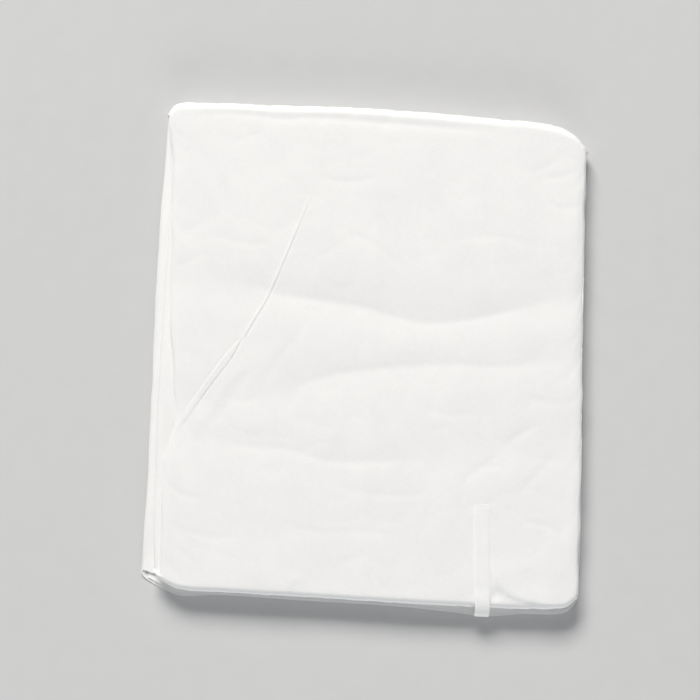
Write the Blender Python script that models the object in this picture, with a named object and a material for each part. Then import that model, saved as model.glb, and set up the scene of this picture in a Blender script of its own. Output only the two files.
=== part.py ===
"""Isolation gown of white coated nonwoven, folded flat and lying on a surface.

The gown is laid on its front, both sides are brought to the middle of the back, and the long
strip this gives is folded twice across. From the neck to the hem the strip is

    neck third    in the middle of the packet, its outer face down
    lower turn    round the edge at -Y
    waist third   on top, its outer face up
    upper turn    round the edge at +Y, with the neck inside it
    hem third     underneath, its outer face down, flat on the surface

Every piece is worked out along that strip. A place on it is a station along the strip, a
distance x across the packet, and a height n above the strip's inner face. Sizes are in mm.
"""

import math

import bpy

MM = 0.001

# Cloth, as walls
WALL = 1.0                   # one sheet of the gown
TIE_WALL = 1.0               # the waist tie
PLY_GAP = 0.3                # clear space between two pieces
RETURN_GAP = 2.0             # between the two sides where they meet at the middle of the back

# Heights of the three runs of the strip
NECK_HEIGHT = 4.4            # neck third, from its inner to its outer face
WAIST_HEIGHT = 4.4           # waist third
HEM_HEIGHT = 4.9             # hem third, which holds the two back panels
INNER_GAP = 0.4              # between the neck third and the waist third
SLOT_AT_TIE = 1.6            # between the hem third and the neck third, at the lower edge
SLOT_AT_TOP = 0.5            # the same at the upper edge
NECK_CLEARANCE = 4.0         # from the neck edge to the start of the upper turn
CROWN = 1.2                  # rise of the middle of the packet over its edges
PACKET_REACH_X = 160.0       # where the crown has run out, from the middle
PACKET_REACH_Y = 185.0

# Stations along each stretch of the strip
NECK_STEPS = 6
LOWER_TURN_STEPS = 8
WAIST_STEPS = 20
UPPER_TURN_STEPS = 9
HEM_STEPS = 8

# Columns across the strip
SIDE_FOLD_STEPS = 5
RETURN_STEPS = 3
LEFT_FACE = (0.05, 0.16, 0.45)                                  # shares, left fold to the tuck
RIGHT_FACE = (0.14, 0.29, 0.44, 0.58, 0.71, 0.82, 0.90, 0.96)   # shares, tuck to the right fold

# Outline seen from above: one row for each bend of an edge
UPPER_EDGE = (               # x, y
    (-153, 172), (-145, 180.5), (-131, 182.5), (-82, 183.5), (-10, 184.5),
    (36, 183.5), (82, 181.5), (125, 179), (143, 172.5), (155, 161),
)
LOWER_EDGE = (               # x, y of the lower turn
    (-143, -157), (-133, -164), (-121, -168), (-89, -168.5), (0, -169.5),
    (100, -170), (145, -168.5), (159, -161.5),
)
HEM_EDGE = (                 # x, y of the cut hem under the lower turn
    (-151, -160), (-141, -165), (-132, -169.5), (-121, -172.5), (-97, -170.5), (-38, -171.5),
    (33, -172.5), (68, -174.5), (96, -176), (119, -173.5), (149, -171.5), (159, -163.5),
)
WAIST_SIDES = (              # y, left x, right x of the waist third
    (-165, -136.5, 156.8), (-130, -137.8, 156.8), (-86, -138.8, 156.4), (-70, -136.4, 156.2),
    (-54, -133.2, 156.0), (-28, -134.4, 155.5), (20, -140.0, 154.4), (100, -143.5, 153.2),
    (168, -146.3, 152.2),
)
NECK_SIDES = (               # the same for the neck third
    (-165, -141.4, 156.0), (-120, -144.3, 156.2), (0, -146.3, 154.2), (168, -145.7, 150.8),
)
HEM_SIDES = (                # the same for the hem third
    (-170, -150.7, 158.6), (-120, -150.3, 158.9), (20, -152.1, 155.9), (112, -152.2, 154.4),
    (168, -150.9, 153.9),
)

# Broad troughs pressed into the top sheet, from side to side
TROUGHS = (                  # depth, half width, line
    (0.9, 17, ((-140, 51), (-60, 44), (25, 31), (75, 34), (150, 54))),
    (0.6, 15, ((-140, -38), (-66, -28), (-10, -9), (50, -1), (150, 11))),
    (0.5, 15, ((-140, -60), (-74, -66), (0, -73), (50, -62), (150, -56))),
)

RELIEF_EASE = 0.1            # share of the waist third over which they run out at each end

# Pressed tuck that runs slantwise over the top sheet
TUCK = (                     # y, x of its middle, half width, rise
    (-58, -125.0, 2.5, 0.0), (-44, -119.5, 3.4, 0.6), (-3, -97.5, 3.5, 0.8), (14, -87.5, 2.2, 0.7),
    (44, -71.5, 1.6, 0.5), (136, -36.5, 1.6, 0.0),
)
TUCK_CREST = 0.5             # half width of its flat top, as a share of its half width

# Back panels, in the hem third
BACK_OVERLAP = 220.0         # how far they overlap
BACK_COLUMNS = 8
HEM_STAGGER = 1.3            # how far a ply's hem stands back, for each mm that it lies higher

# Waist tie
TIE_WIDTH = 10.5
TIE_SIDES = (                # y, x of its middle
    (-170, 90.0), (-148, 89.0), (-98, 87.0),
)
TIE_ROOT_Y = -98.0
TIE_LEAVES_Y = -157.0        # here it lifts off the top sheet
TIE_STEPS = 6
TIE_LOOP = (                 # y, z of its middle, round the lower turn and into the slot
    (-162.3, 16.55), (-168.3, 16.0), (-173.0, 13.9), (-176.0, 10.8), (-176.3, 8.2),
    (-174.2, 6.4), (-169.3, 5.75), (-157.0, 5.72),
)
TIE_LOOP_STEPS = 3           # rows between two points of the loop

CLOTH_WHITE = (0.90, 0.91, 0.92, 1.0)
CORE_WHITE = (0.86, 0.87, 0.88, 1.0)
TIE_WHITE = (0.94, 0.95, 0.96, 1.0)


def smooth(share):
    """Ease from 0 to 1."""
    share = min(max(share, 0.0), 1.0)
    return share * share * (3.0 - 2.0 * share)


def mix(first, second, share):
    return first + (second - first) * share


def look_up(rows, key, column=1):
    """Value of a table's column at a key, on a curve whose slopes follow the neighbouring rows."""
    if key <= rows[0][0]:
        return rows[0][column]
    if key >= rows[-1][0]:
        return rows[-1][column]
    index = max(i for i, row in enumerate(rows[:-1]) if row[0] <= key)
    low, high = rows[index], rows[index + 1]
    before = rows[max(index - 1, 0)]
    after = rows[min(index + 2, len(rows) - 1)]
    span = high[0] - low[0]
    share = (key - low[0]) / span
    slope_low = (high[column] - before[column]) / (high[0] - before[0])
    slope_high = (after[column] - low[column]) / (after[0] - low[0])
    cube, square = share ** 3, share ** 2
    return ((2 * cube - 3 * square + 1) * low[column]
            + (cube - 2 * square + share) * span * slope_low
            + (3 * square - 2 * cube) * high[column]
            + (cube - square) * span * slope_high)


def crowned(x, y, z):
    """The whole packet rises a little to its middle, and its underside stays flat."""
    across = max(0.0, 1.0 - abs(x / PACKET_REACH_X) ** 3)
    along = max(0.0, 1.0 - abs(y / PACKET_REACH_Y) ** 3)
    top = HEM_HEIGHT + SLOT_AT_TOP + NECK_HEIGHT + INNER_GAP + WAIST_HEIGHT
    return z * (1.0 + CROWN / top * across * along)


def trough(x, y):
    """Depth of the broad troughs at a place on the top sheet, less than nothing."""
    return -sum(depth * math.exp(-((y - look_up(line, x)) / half_width) ** 2)
                for depth, half_width, line in TROUGHS)


def lifted_share(n, height):
    """How much of a trough reaches height n of the waist third: none below, all on top."""
    rim = WALL + PLY_GAP
    return smooth((n - rim) / (height - 2.0 * rim))


class Station:
    """One place along the strip: where its inner face lies and which way its outer face looks."""

    def __init__(self, share, turn, radius, centre, height, sides, edges, relief=0.0, stagger=0.0):
        self.share = share        # 0 at the lower end of the run, 1 at the upper end
        self.turn = turn          # direction of the outer face, radians, 0 is +Y and half pi is up
        self.radius = radius      # from the centre of a turn to the inner face
        self.centre = centre      # height of that centre, or of the inner face on a run
        self.height = height      # from the inner to the outer face
        self.sides = sides        # left and right x
        self.edges = edges        # y of the run's lower and upper end, as functions of x
        self.relief = relief      # share of the troughs and the tuck shown here
        self.stagger = stagger    # share of the stagger of the plies' hems

    def y_of(self, x):
        low, high = self.edges
        return mix(low(x), high(x), self.share)

    def tuck(self):
        y = self.y_of(0.0)
        return tuple(look_up(TUCK, y, column) for column in (1, 2, 3))

    def place(self, x, n):
        """The world point, in mm, at distance x across and height n above the inner face."""
        y = self.y_of(x)
        if self.relief:
            n += self.relief * trough(x, y) * lifted_share(n, self.height)
        y += self.stagger * HEM_STAGGER * (self.height - n)
        y += (self.radius + n) * math.cos(self.turn)
        z = self.centre + (self.radius + n) * math.sin(self.turn)
        return (x, y, crowned(x, y, z))


LOWER_RADIUS = INNER_GAP / 2.0
UPPER_RADIUS = (SLOT_AT_TOP + NECK_HEIGHT + INNER_GAP) / 2.0
DOWN, UP = -math.pi / 2.0, math.pi / 2.0


def lower_turn_y(x):
    """Middle of the lower turn, which is its outermost place less its radius."""
    return look_up(LOWER_EDGE, x) + LOWER_RADIUS + WAIST_HEIGHT


def upper_turn_y(x):
    return look_up(UPPER_EDGE, x) - UPPER_RADIUS - HEM_HEIGHT


def neck_y(x):
    return upper_turn_y(x) - NECK_CLEARANCE


def hem_y(x):
    return look_up(HEM_EDGE, x)


def sides_at(rows, y):
    return look_up(rows, y, 1), look_up(rows, y, 2)


def neck_inner_z(share):
    """Height of the neck third's inner face, which rises towards the slot for the tie."""
    return HEM_HEIGHT + mix(SLOT_AT_TIE, SLOT_AT_TOP, share) + NECK_HEIGHT


def neck_third():
    edges = (lower_turn_y, neck_y)
    stations = []
    for step in range(NECK_STEPS + 1):
        share = 1.0 - step / NECK_STEPS
        sides = sides_at(NECK_SIDES, mix(edges[0](0.0), edges[1](0.0), share))
        stations.append(Station(share, DOWN, 0.0, neck_inner_z(share), NECK_HEIGHT, sides, edges))
    return stations


def lower_turn():
    start, end = NECK_SIDES[0][1:], WAIST_SIDES[0][1:]
    centre = neck_inner_z(0.0) + LOWER_RADIUS
    stations = []
    for step in range(1, LOWER_TURN_STEPS):
        share = step / LOWER_TURN_STEPS
        sides = tuple(mix(a, b, smooth(share)) for a, b in zip(start, end))
        stations.append(Station(0.0, DOWN - math.pi * share, LOWER_RADIUS, centre,
                                mix(NECK_HEIGHT, WAIST_HEIGHT, share), sides,
                                (lower_turn_y, lower_turn_y)))
    return stations


def waist_third():
    edges = (lower_turn_y, upper_turn_y)
    stations = []
    for step in range(WAIST_STEPS + 1):
        share = step / WAIST_STEPS
        sides = sides_at(WAIST_SIDES, mix(edges[0](0.0), edges[1](0.0), share))
        relief = smooth(share / RELIEF_EASE) * smooth((1.0 - share) / RELIEF_EASE)
        stations.append(Station(share, UP, 0.0, neck_inner_z(share) + INNER_GAP, WAIST_HEIGHT,
                                sides, edges, relief))
    return stations


def upper_turn():
    start, end = WAIST_SIDES[-1][1:], HEM_SIDES[-1][1:]
    stations = []
    for step in range(1, UPPER_TURN_STEPS):
        share = step / UPPER_TURN_STEPS
        sides = tuple(mix(a, b, smooth(share)) for a, b in zip(start, end))
        stations.append(Station(1.0, UP - math.pi * share, UPPER_RADIUS,
                                HEM_HEIGHT + UPPER_RADIUS, mix(WAIST_HEIGHT, HEM_HEIGHT, share),
                                sides, (upper_turn_y, upper_turn_y)))
    return stations


def hem_third():
    edges = (hem_y, upper_turn_y)
    stations = []
    for step in range(HEM_STEPS + 1):
        share = 1.0 - step / HEM_STEPS
        sides = sides_at(HEM_SIDES, mix(edges[0](0.0), edges[1](0.0), share))
        stations.append(Station(share, DOWN, 0.0, HEM_HEIGHT, HEM_HEIGHT, sides, edges,
                                stagger=smooth(1.0 - share * HEM_STEPS)))
    return stations


def tuck_columns(station, raised):
    """Four columns that follow the pressed tuck, with the rise of each."""
    middle, half_width, rise = station.tuck()
    rise *= station.relief * raised
    crest = half_width * TUCK_CREST
    return ((middle - half_width, 0.0), (middle - crest, rise),
            (middle + crest, rise), (middle + half_width, 0.0))


def section(station, depth):
    """Columns (x, n) of the strip's sheet, depth mm inside its outer face.

    They run from the middle of the back under the left side, round the left side fold, over
    the outer face, round the right side fold and back to the middle.
    """
    left, right = station.sides
    fold = station.height / 2.0
    middle = (left + right) / 2.0
    columns = []
    for step in range(RETURN_STEPS):
        columns.append((mix(middle - RETURN_GAP / 2.0, left + fold, step / RETURN_STEPS), depth))
    for step in range(SIDE_FOLD_STEPS + 1):
        angle = math.pi * (1.5 - step / SIDE_FOLD_STEPS)
        columns.append((left + fold + (fold - depth) * math.cos(angle),
                        fold + (fold - depth) * math.sin(angle)))
    face = station.height - depth
    tuck = tuck_columns(station, raised=1.0 if depth == 0.0 else 0.0)
    columns += [(mix(left + fold, tuck[0][0], share), face) for share in LEFT_FACE]
    columns += [(x, face + rise) for x, rise in tuck]
    columns += [(mix(tuck[-1][0], right - fold, share), face) for share in RIGHT_FACE]
    for step in range(SIDE_FOLD_STEPS + 1):
        angle = math.pi * (0.5 - step / SIDE_FOLD_STEPS)
        columns.append((right - fold + (fold - depth) * math.cos(angle),
                        fold + (fold - depth) * math.sin(angle)))
    for step in range(RETURN_STEPS):
        share = (step + 1) / RETURN_STEPS
        columns.append((mix(right - fold, middle + RETURN_GAP / 2.0, share), depth))
    return columns


def sheet_points(stations, depth):
    """Rows of world points of the strip's sheet, depth mm inside its outer face."""
    return [[station.place(x, n) for x, n in section(station, depth)] for station in stations]


def grid_faces(rows, columns, first, flipped):
    """Quads over a grid of points whose numbers start at first."""
    faces = []
    for row in range(rows - 1):
        for column in range(columns - 1):
            corner = first + row * columns + column
            quad = (corner, corner + 1, corner + columns + 1, corner + columns)
            faces.append(quad[::-1] if flipped else quad)
    return faces


def rim(rows, columns):
    """Numbers of the points round a grid, in order."""
    return ([column for column in range(columns)]
            + [row * columns + columns - 1 for row in range(1, rows)]
            + [(rows - 1) * columns + column for column in range(columns - 2, -1, -1)]
            + [row * columns for row in range(rows - 2, 0, -1)])


def wall_mesh(name, outer, inner):
    """A cloth wall between two grids of points, closed round its edges."""
    rows, columns = len(outer), len(outer[0])
    points = [point for row in outer for point in row] + [point for row in inner for point in row]
    count = rows * columns
    faces = grid_faces(rows, columns, 0, flipped=False)
    faces += grid_faces(rows, columns, count, flipped=True)
    edge = rim(rows, columns)
    for here, after in zip(edge, edge[1:] + edge[:1]):
        faces.append((after, here, here + count, after + count))
    return mesh_from(name, points, faces)


def solid_mesh(name, rings):
    """A rounded solid through closed rings, capped at both ends."""
    columns = len(rings[0])
    points = [point for ring in rings for point in ring]
    faces = []
    for row in range(len(rings) - 1):
        for column in range(columns):
            here = row * columns + column
            after = row * columns + (column + 1) % columns
            faces.append((here, after, after + columns, here + columns))
    last = (len(rings) - 1) * columns
    faces.append(tuple(reversed(range(columns))))
    faces.append(tuple(range(last, last + columns)))
    return mesh_from(name, points, faces)


def mesh_from(name, points, faces):
    mesh = bpy.data.meshes.new(name)
    mesh.from_pydata([tuple(value * MM for value in point) for point in points], [], faces)
    mesh.validate()
    mesh.shade_smooth()
    mesh.set_sharp_from_angle(angle=math.radians(40))
    return mesh


def cloth_material(name, colour, roughness):
    material = bpy.data.materials.new(name)
    material.use_nodes = True
    shader = material.node_tree.nodes["Principled BSDF"]
    shader.inputs["Base Color"].default_value = colour
    shader.inputs["Roughness"].default_value = roughness
    shader.inputs["Metallic"].default_value = 0.0
    return material


def add_piece(collection, mesh, material):
    piece = bpy.data.objects.new(mesh.name, mesh)
    mesh.materials.append(material)
    collection.objects.link(piece)
    return piece


def front_panel_mesh(strip):
    """The outer sheet of the whole strip, its two sides meeting at the middle of the back."""
    return wall_mesh("front_panel", sheet_points(strip, 0.0), sheet_points(strip, WALL))


def core_mesh(strip):
    """The hidden plies of the neck and waist thirds, as one rounded solid inside the sheet."""
    return solid_mesh("folded_core", sheet_points(strip, WALL + PLY_GAP))


def back_panel_mesh(name, stations, side):
    """One back panel, flat in the hem third. side is -1 for the left and 1 for the right."""
    low_n = HEM_HEIGHT - WALL - PLY_GAP
    if side > 0:
        low_n -= WALL + PLY_GAP
    outer, inner = [], []
    for station in stations:
        left, right = station.sides
        inset = station.height / 2.0
        middle = (left + right) / 2.0
        if side < 0:
            ends = (left + inset, middle + BACK_OVERLAP / 2.0)
        else:
            ends = (middle - BACK_OVERLAP / 2.0, right - inset)
        places = [mix(ends[0], ends[1], column / BACK_COLUMNS) for column in range(BACK_COLUMNS + 1)]
        outer.append([station.place(x, low_n) for x in places])
        inner.append([station.place(x, low_n - WALL) for x in places])
    return wall_mesh(name, outer, inner)


def spline_points(points, steps):
    """A soft curve through points, with steps spans between two of them."""
    result = []
    padded = [points[0]] + list(points) + [points[-1]]
    for before, low, high, after in zip(padded, padded[1:], padded[2:], padded[3:]):
        for step in range(steps):
            share = step / steps
            result.append(tuple(
                0.5 * (2 * b + (c - a) * share + (2 * a - 5 * b + 4 * c - d) * share ** 2
                       + (3 * b - a - 3 * c + d) * share ** 3)
                for a, b, c, d in zip(before, low, high, after)))
    result.append(tuple(points[-1]))
    return result


def stations_beside(stations, x, y):
    """The two stations on either side of a place, and the share of the way between them."""
    for low, high in zip(stations, stations[1:]):
        y_low, y_high = low.y_of(x), high.y_of(x)
        if y_low <= y <= y_high:
            return low, high, (y - y_low) / (y_high - y_low)
    return stations[0], stations[1], 0.0


def on_top_sheet(stations, x, y, lift):
    """World point lift mm above the top sheet, on the flat spans between its stations."""
    low, high, share = stations_beside(stations, x, y)
    first, second = low.place(x, low.height), high.place(x, high.height)
    return (x, y, mix(first[2], second[2], share) + lift)


def tie_mesh(stations):
    """The waist tie: over the top sheet, round the lower turn and into the slot below it."""
    half = TIE_WIDTH / 2.0
    outer, inner = [], []
    for step in range(TIE_STEPS + 1):
        y = mix(TIE_ROOT_Y, TIE_LEAVES_Y, step / TIE_STEPS)
        middle = look_up(TIE_SIDES, y)
        places = (middle + half, middle, middle - half)
        inner.append([on_top_sheet(stations, x, y, PLY_GAP) for x in places])
        outer.append([on_top_sheet(stations, x, y, PLY_GAP + TIE_WALL) for x in places])
    path = spline_points(TIE_LOOP, TIE_LOOP_STEPS)
    for index, (y, z) in enumerate(path):
        ahead, behind = path[min(index + 1, len(path) - 1)], path[max(index - 1, 0)]
        run, rise = ahead[0] - behind[0], ahead[1] - behind[1]
        length = math.hypot(run, rise)
        away = (rise / length * TIE_WALL / 2.0, -run / length * TIE_WALL / 2.0)
        middle = look_up(TIE_SIDES, y)
        places = (middle + half, middle, middle - half)
        outer.append([(x, y + away[0], crowned(x, y, z + away[1])) for x in places])
        inner.append([(x, y - away[0], crowned(x, y, z - away[1])) for x in places])
    return wall_mesh("waist_tie_right", outer, inner)


def stand_on_origin(pieces):
    """Move every mesh so that the middle of the packet's underside is at the origin."""
    points = [vertex.co for piece in pieces for vertex in piece.data.vertices]
    lows = [min(point[axis] for point in points) for axis in range(3)]
    highs = [max(point[axis] for point in points) for axis in range(3)]
    shift = (-(lows[0] + highs[0]) / 2.0, -(lows[1] + highs[1]) / 2.0, -lows[2])
    for piece in pieces:
        for vertex in piece.data.vertices:
            vertex.co = [value + move for value, move in zip(vertex.co, shift)]


def build_gown():
    for leftover in list(bpy.data.objects):
        bpy.data.objects.remove(leftover, do_unlink=True)
    collection = bpy.data.collections.new("isolation_gown")
    bpy.context.scene.collection.children.link(collection)

    neck, waist, hem = neck_third(), waist_third(), hem_third()
    folded = neck + lower_turn() + waist + upper_turn()
    meshes = (
        (front_panel_mesh(folded + hem), cloth_material("front_cloth", CLOTH_WHITE, 0.62)),
        (core_mesh(folded[:-1]), cloth_material("inner_plies", CORE_WHITE, 0.75)),
        (back_panel_mesh("back_panel_left", hem, -1),
         cloth_material("left_back_cloth", CLOTH_WHITE, 0.62)),
        (back_panel_mesh("back_panel_right", hem, 1),
         cloth_material("right_back_cloth", CLOTH_WHITE, 0.62)),
        (tie_mesh(waist), cloth_material("tie_cloth", TIE_WHITE, 0.5)),
    )
    pieces = [add_piece(collection, mesh, material) for mesh, material in meshes]
    stand_on_origin(pieces)


build_gown()
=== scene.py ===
"""Looks of the folded isolation gown: thin sheets with pressed creases on the form of its solids.

The gown lies folded on a pale floor. Sizes along the folds are in mm, as in the part's source,
and become metres where a mesh is made. A place on the folded strip is a station along it, a
distance x across the packet and a height n above the strip's inner face.
"""

import math
import random

import bpy
import numpy as np
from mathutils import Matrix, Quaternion, Vector, noise
from mathutils.bvhtree import BVHTree


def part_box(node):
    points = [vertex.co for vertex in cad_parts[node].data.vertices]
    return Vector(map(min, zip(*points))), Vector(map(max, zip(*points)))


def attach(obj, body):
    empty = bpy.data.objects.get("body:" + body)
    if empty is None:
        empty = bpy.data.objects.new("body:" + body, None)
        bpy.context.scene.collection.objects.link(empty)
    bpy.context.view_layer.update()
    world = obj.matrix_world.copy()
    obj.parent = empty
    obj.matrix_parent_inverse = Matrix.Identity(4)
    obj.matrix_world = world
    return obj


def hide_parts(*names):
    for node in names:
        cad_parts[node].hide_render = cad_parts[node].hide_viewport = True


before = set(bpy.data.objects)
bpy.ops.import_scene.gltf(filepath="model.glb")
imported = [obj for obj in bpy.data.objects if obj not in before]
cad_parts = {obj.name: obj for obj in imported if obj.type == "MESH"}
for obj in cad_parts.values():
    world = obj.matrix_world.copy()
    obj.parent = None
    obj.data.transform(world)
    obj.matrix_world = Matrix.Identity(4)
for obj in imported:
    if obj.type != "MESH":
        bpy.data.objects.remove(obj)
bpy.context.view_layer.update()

MM = 0.001
PER_METRE = 1000.0           # mm in a metre

# Cloth
SHEET = 0.4                  # one ply, as a thin shell
TIE_SHEET = 0.35
PLY_GAP = 0.3                # clear space between two of the solids
WALL = 1.0                   # the solids' wall for one ply
SHARP = math.radians(50)     # a ply's cut rim stays sharp, its folds stay soft
RETURN_GAP = 2.0             # between the two sides where they meet at the middle of the back

# Runs of the strip, as in the part's source
NECK_HEIGHT = 4.4            # from the run's inner face to its outer face
WAIST_HEIGHT = 4.4
HEM_HEIGHT = 4.9
INNER_GAP = 0.4              # between the neck third and the waist third
SLOT_AT_TIE = 1.6            # between the hem third and the neck third, at the lower edge
SLOT_AT_TOP = 0.5            # the same at the upper edge
NECK_REACH = 1.0             # how far the neck edge reaches into the upper turn
CROWN = 1.2                  # rise of the packet's middle over its edges
PACKET_REACH = (160.0, 185.0)    # where the crown has run out, in x and y
LOWER_RADIUS = INNER_GAP / 2.0
UPPER_RADIUS = (SLOT_AT_TOP + NECK_HEIGHT + INNER_GAP) / 2.0
DOWN = -math.pi / 2.0        # the way that an outer face looks, as an angle from +Y
UP = math.pi / 2.0

# Stations along the neck third, lower turn, waist third, upper turn and hem third
FRONT_STEPS = (12, 18, 180, 18, 26)
HIDDEN_STEPS = (16, 12, 40, 12)
HIDDEN_END = 2               # stations left out at the end of their upper turn
BACK_STEPS = 60
SOLID_STEPS = 8              # of the solid's lower turn and of its hem third

UPPER_EDGE = (               # x, y
    (-153, 172), (-145, 180.5), (-131, 182.5), (-82, 183.5), (-10, 184.5),
    (36, 183.5), (82, 181.5), (125, 179), (143, 172.5), (155, 161),
)
LOWER_EDGE = (               # x, y of the lower turn
    (-143, -157), (-133, -164), (-121, -168), (-89, -168.5), (0, -169.5),
    (100, -170), (145, -168.5), (159, -161.5),
)
HEM_EDGE = (                 # x, y of the cut hem under the lower turn
    (-151, -160), (-141, -165), (-132, -169.5), (-121, -172.5), (-97, -170.5), (-38, -171.5),
    (33, -172.5), (68, -174.5), (96, -176), (119, -173.5), (149, -171.5), (159, -163.5),
)
WAIST_SIDES = (              # y, left x, right x of the waist third
    (-165, -136.5, 156.8), (-130, -137.8, 156.8), (-86, -138.8, 156.4), (-70, -136.4, 156.2),
    (-54, -133.2, 156.0), (-28, -134.4, 155.5), (20, -140.0, 154.4), (100, -143.5, 153.2),
    (147, -145.4, 152.5), (168, -149.4, 152.2),
)
NECK_SIDES = (               # the same for the neck third
    (-165, -141.4, 156.0), (-120, -144.3, 156.2), (0, -146.3, 154.2), (128, -145.6, 151.6),
    (168, -147.6, 150.8),
)
HEM_SIDES = (                # the same for the hem third
    (-170, -150.7, 158.6), (-120, -150.3, 158.9), (20, -152.1, 155.9), (112, -152.2, 154.4),
    (168, -150.9, 153.9),
)
WAVER = 0.9                  # how far the side folds waver in and out
WAVER_SIZE = 21.0            # length of one waver
OTHER_SIDE = 50.0            # apart in the noise, so that each side has its own wavers
HEM_STAGGER = 1.3            # how far a ply's hem stands back, for each mm that it lies higher
STAGGER_ROWS = 2.0           # so many stations from the hem, the plies lie even again
BACK_OVERLAP = 220.0         # how far the two back panels overlap
BACK_INSET = 0.7             # how far in from a fold they start, as a share of its pinch
BACK_COLUMNS = 90
BACK_LEFT = (-1, HEM_HEIGHT - 2.0, 41)       # side, height, seed
BACK_RIGHT = (1, HEM_HEIGHT - 3.3, 42)
PRESSED = 0.42               # share of its height that the hem's free corner loses
PRESSED_CORNER = (-126.0, 16.0, 34.0)    # from this x, over this width, this far up from the hem

TROUGHS = (                  # depth, half width, line from side to side
    (0.9, 17, ((-140, 51), (-60, 44), (25, 31), (75, 34), (150, 54))),
    (0.6, 15, ((-140, -38), (-66, -28), (-10, -9), (50, -1), (150, 11))),
    (0.5, 15, ((-140, -60), (-74, -66), (0, -73), (50, -62), (150, -56))),
)
RELIEF_EASE = 0.1            # share of the waist third over which they run out at each end

# Pleat pressed slantwise into the top sheet: two crisp edges that meet and run on as a thin ridge
PLEAT_RIGHT = ((-134, -64), (-123.5, -48), (-109, -25), (-94.2, -3), (-87.3, 12))
PLEAT_LEFT = ((-132.5, -53), (-116.5, -27), (-101.5, -3.5), (-91, 9.5), (-87.3, 12))
PLEAT_RIDGE = ((-87.3, 12), (-79, 28), (-70.5, 45), (-54, 90), (-37, 139))
PLEAT_PATH = ((-64, -133), (-3, -98), (14, -87), (45, -70.5), (139, -37))     # y, x
PLEAT_RISE = 0.26
PLEAT_GROOVE = (0.26, 0.55)  # depth and half width of the line along each edge
PLEAT_BANK = 0.8             # width over which the band rises from its two lines
PLEAT_ENDS = (0.10, 0.04)    # shares of the lines over which they start and end
LEFT_LINE = 0.7              # depth of the left line, as a share of the right one's
RIDGE_RISE = (0.30, 0.85)    # height and half width of the thin ridge
RIDGE_ENDS = (0.02, 0.5)
RIDGE_FOOT = (0.6, 1.5, 0.6)     # line beside it: depth as a share, distance, half width

# How far in from a side fold the sheet lies level, for each run of the strip
PINCH = {"neck": 6.0, "waist": 7.5, "hem": 7.0}
SIDE_PLIES = (               # height as a share of the fold, depth, half width, wander
    (0.38, 0.8, 0.075, 0.05), (0.67, 0.5, 0.07, 0.05),
)
PLY_DEPTH_VARIES = (0.75, 0.5)   # least share of that depth, and how much the noise adds
PLY_WANDER = (0.8, 23.0)     # how the wander goes on: for each radian of a turn, mm of a run
PLY_SEEDS = (5.1, 9.7)       # steps in the noise from side to side and from line to line
FOLD_CROWDING = 1.4          # over 1, the columns crowd to the middle of a side fold
FOLD_QUIET = 0.32            # share of every crease that is left at the bend of a side fold
FOLD_QUIET_REACH = (1.5, 6.5)    # from this far off, over so much more, they come back

HEART_WIDTH = 0.3            # a crease's pressed heart, as a share of its half width
HEART_SHARE = 0.4            # and of its depth
FINEST = 2.0                 # half width of the finest crease that the columns can carry
ENDS_FADE = 0.26             # share of a line over which it fades at either end

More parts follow.
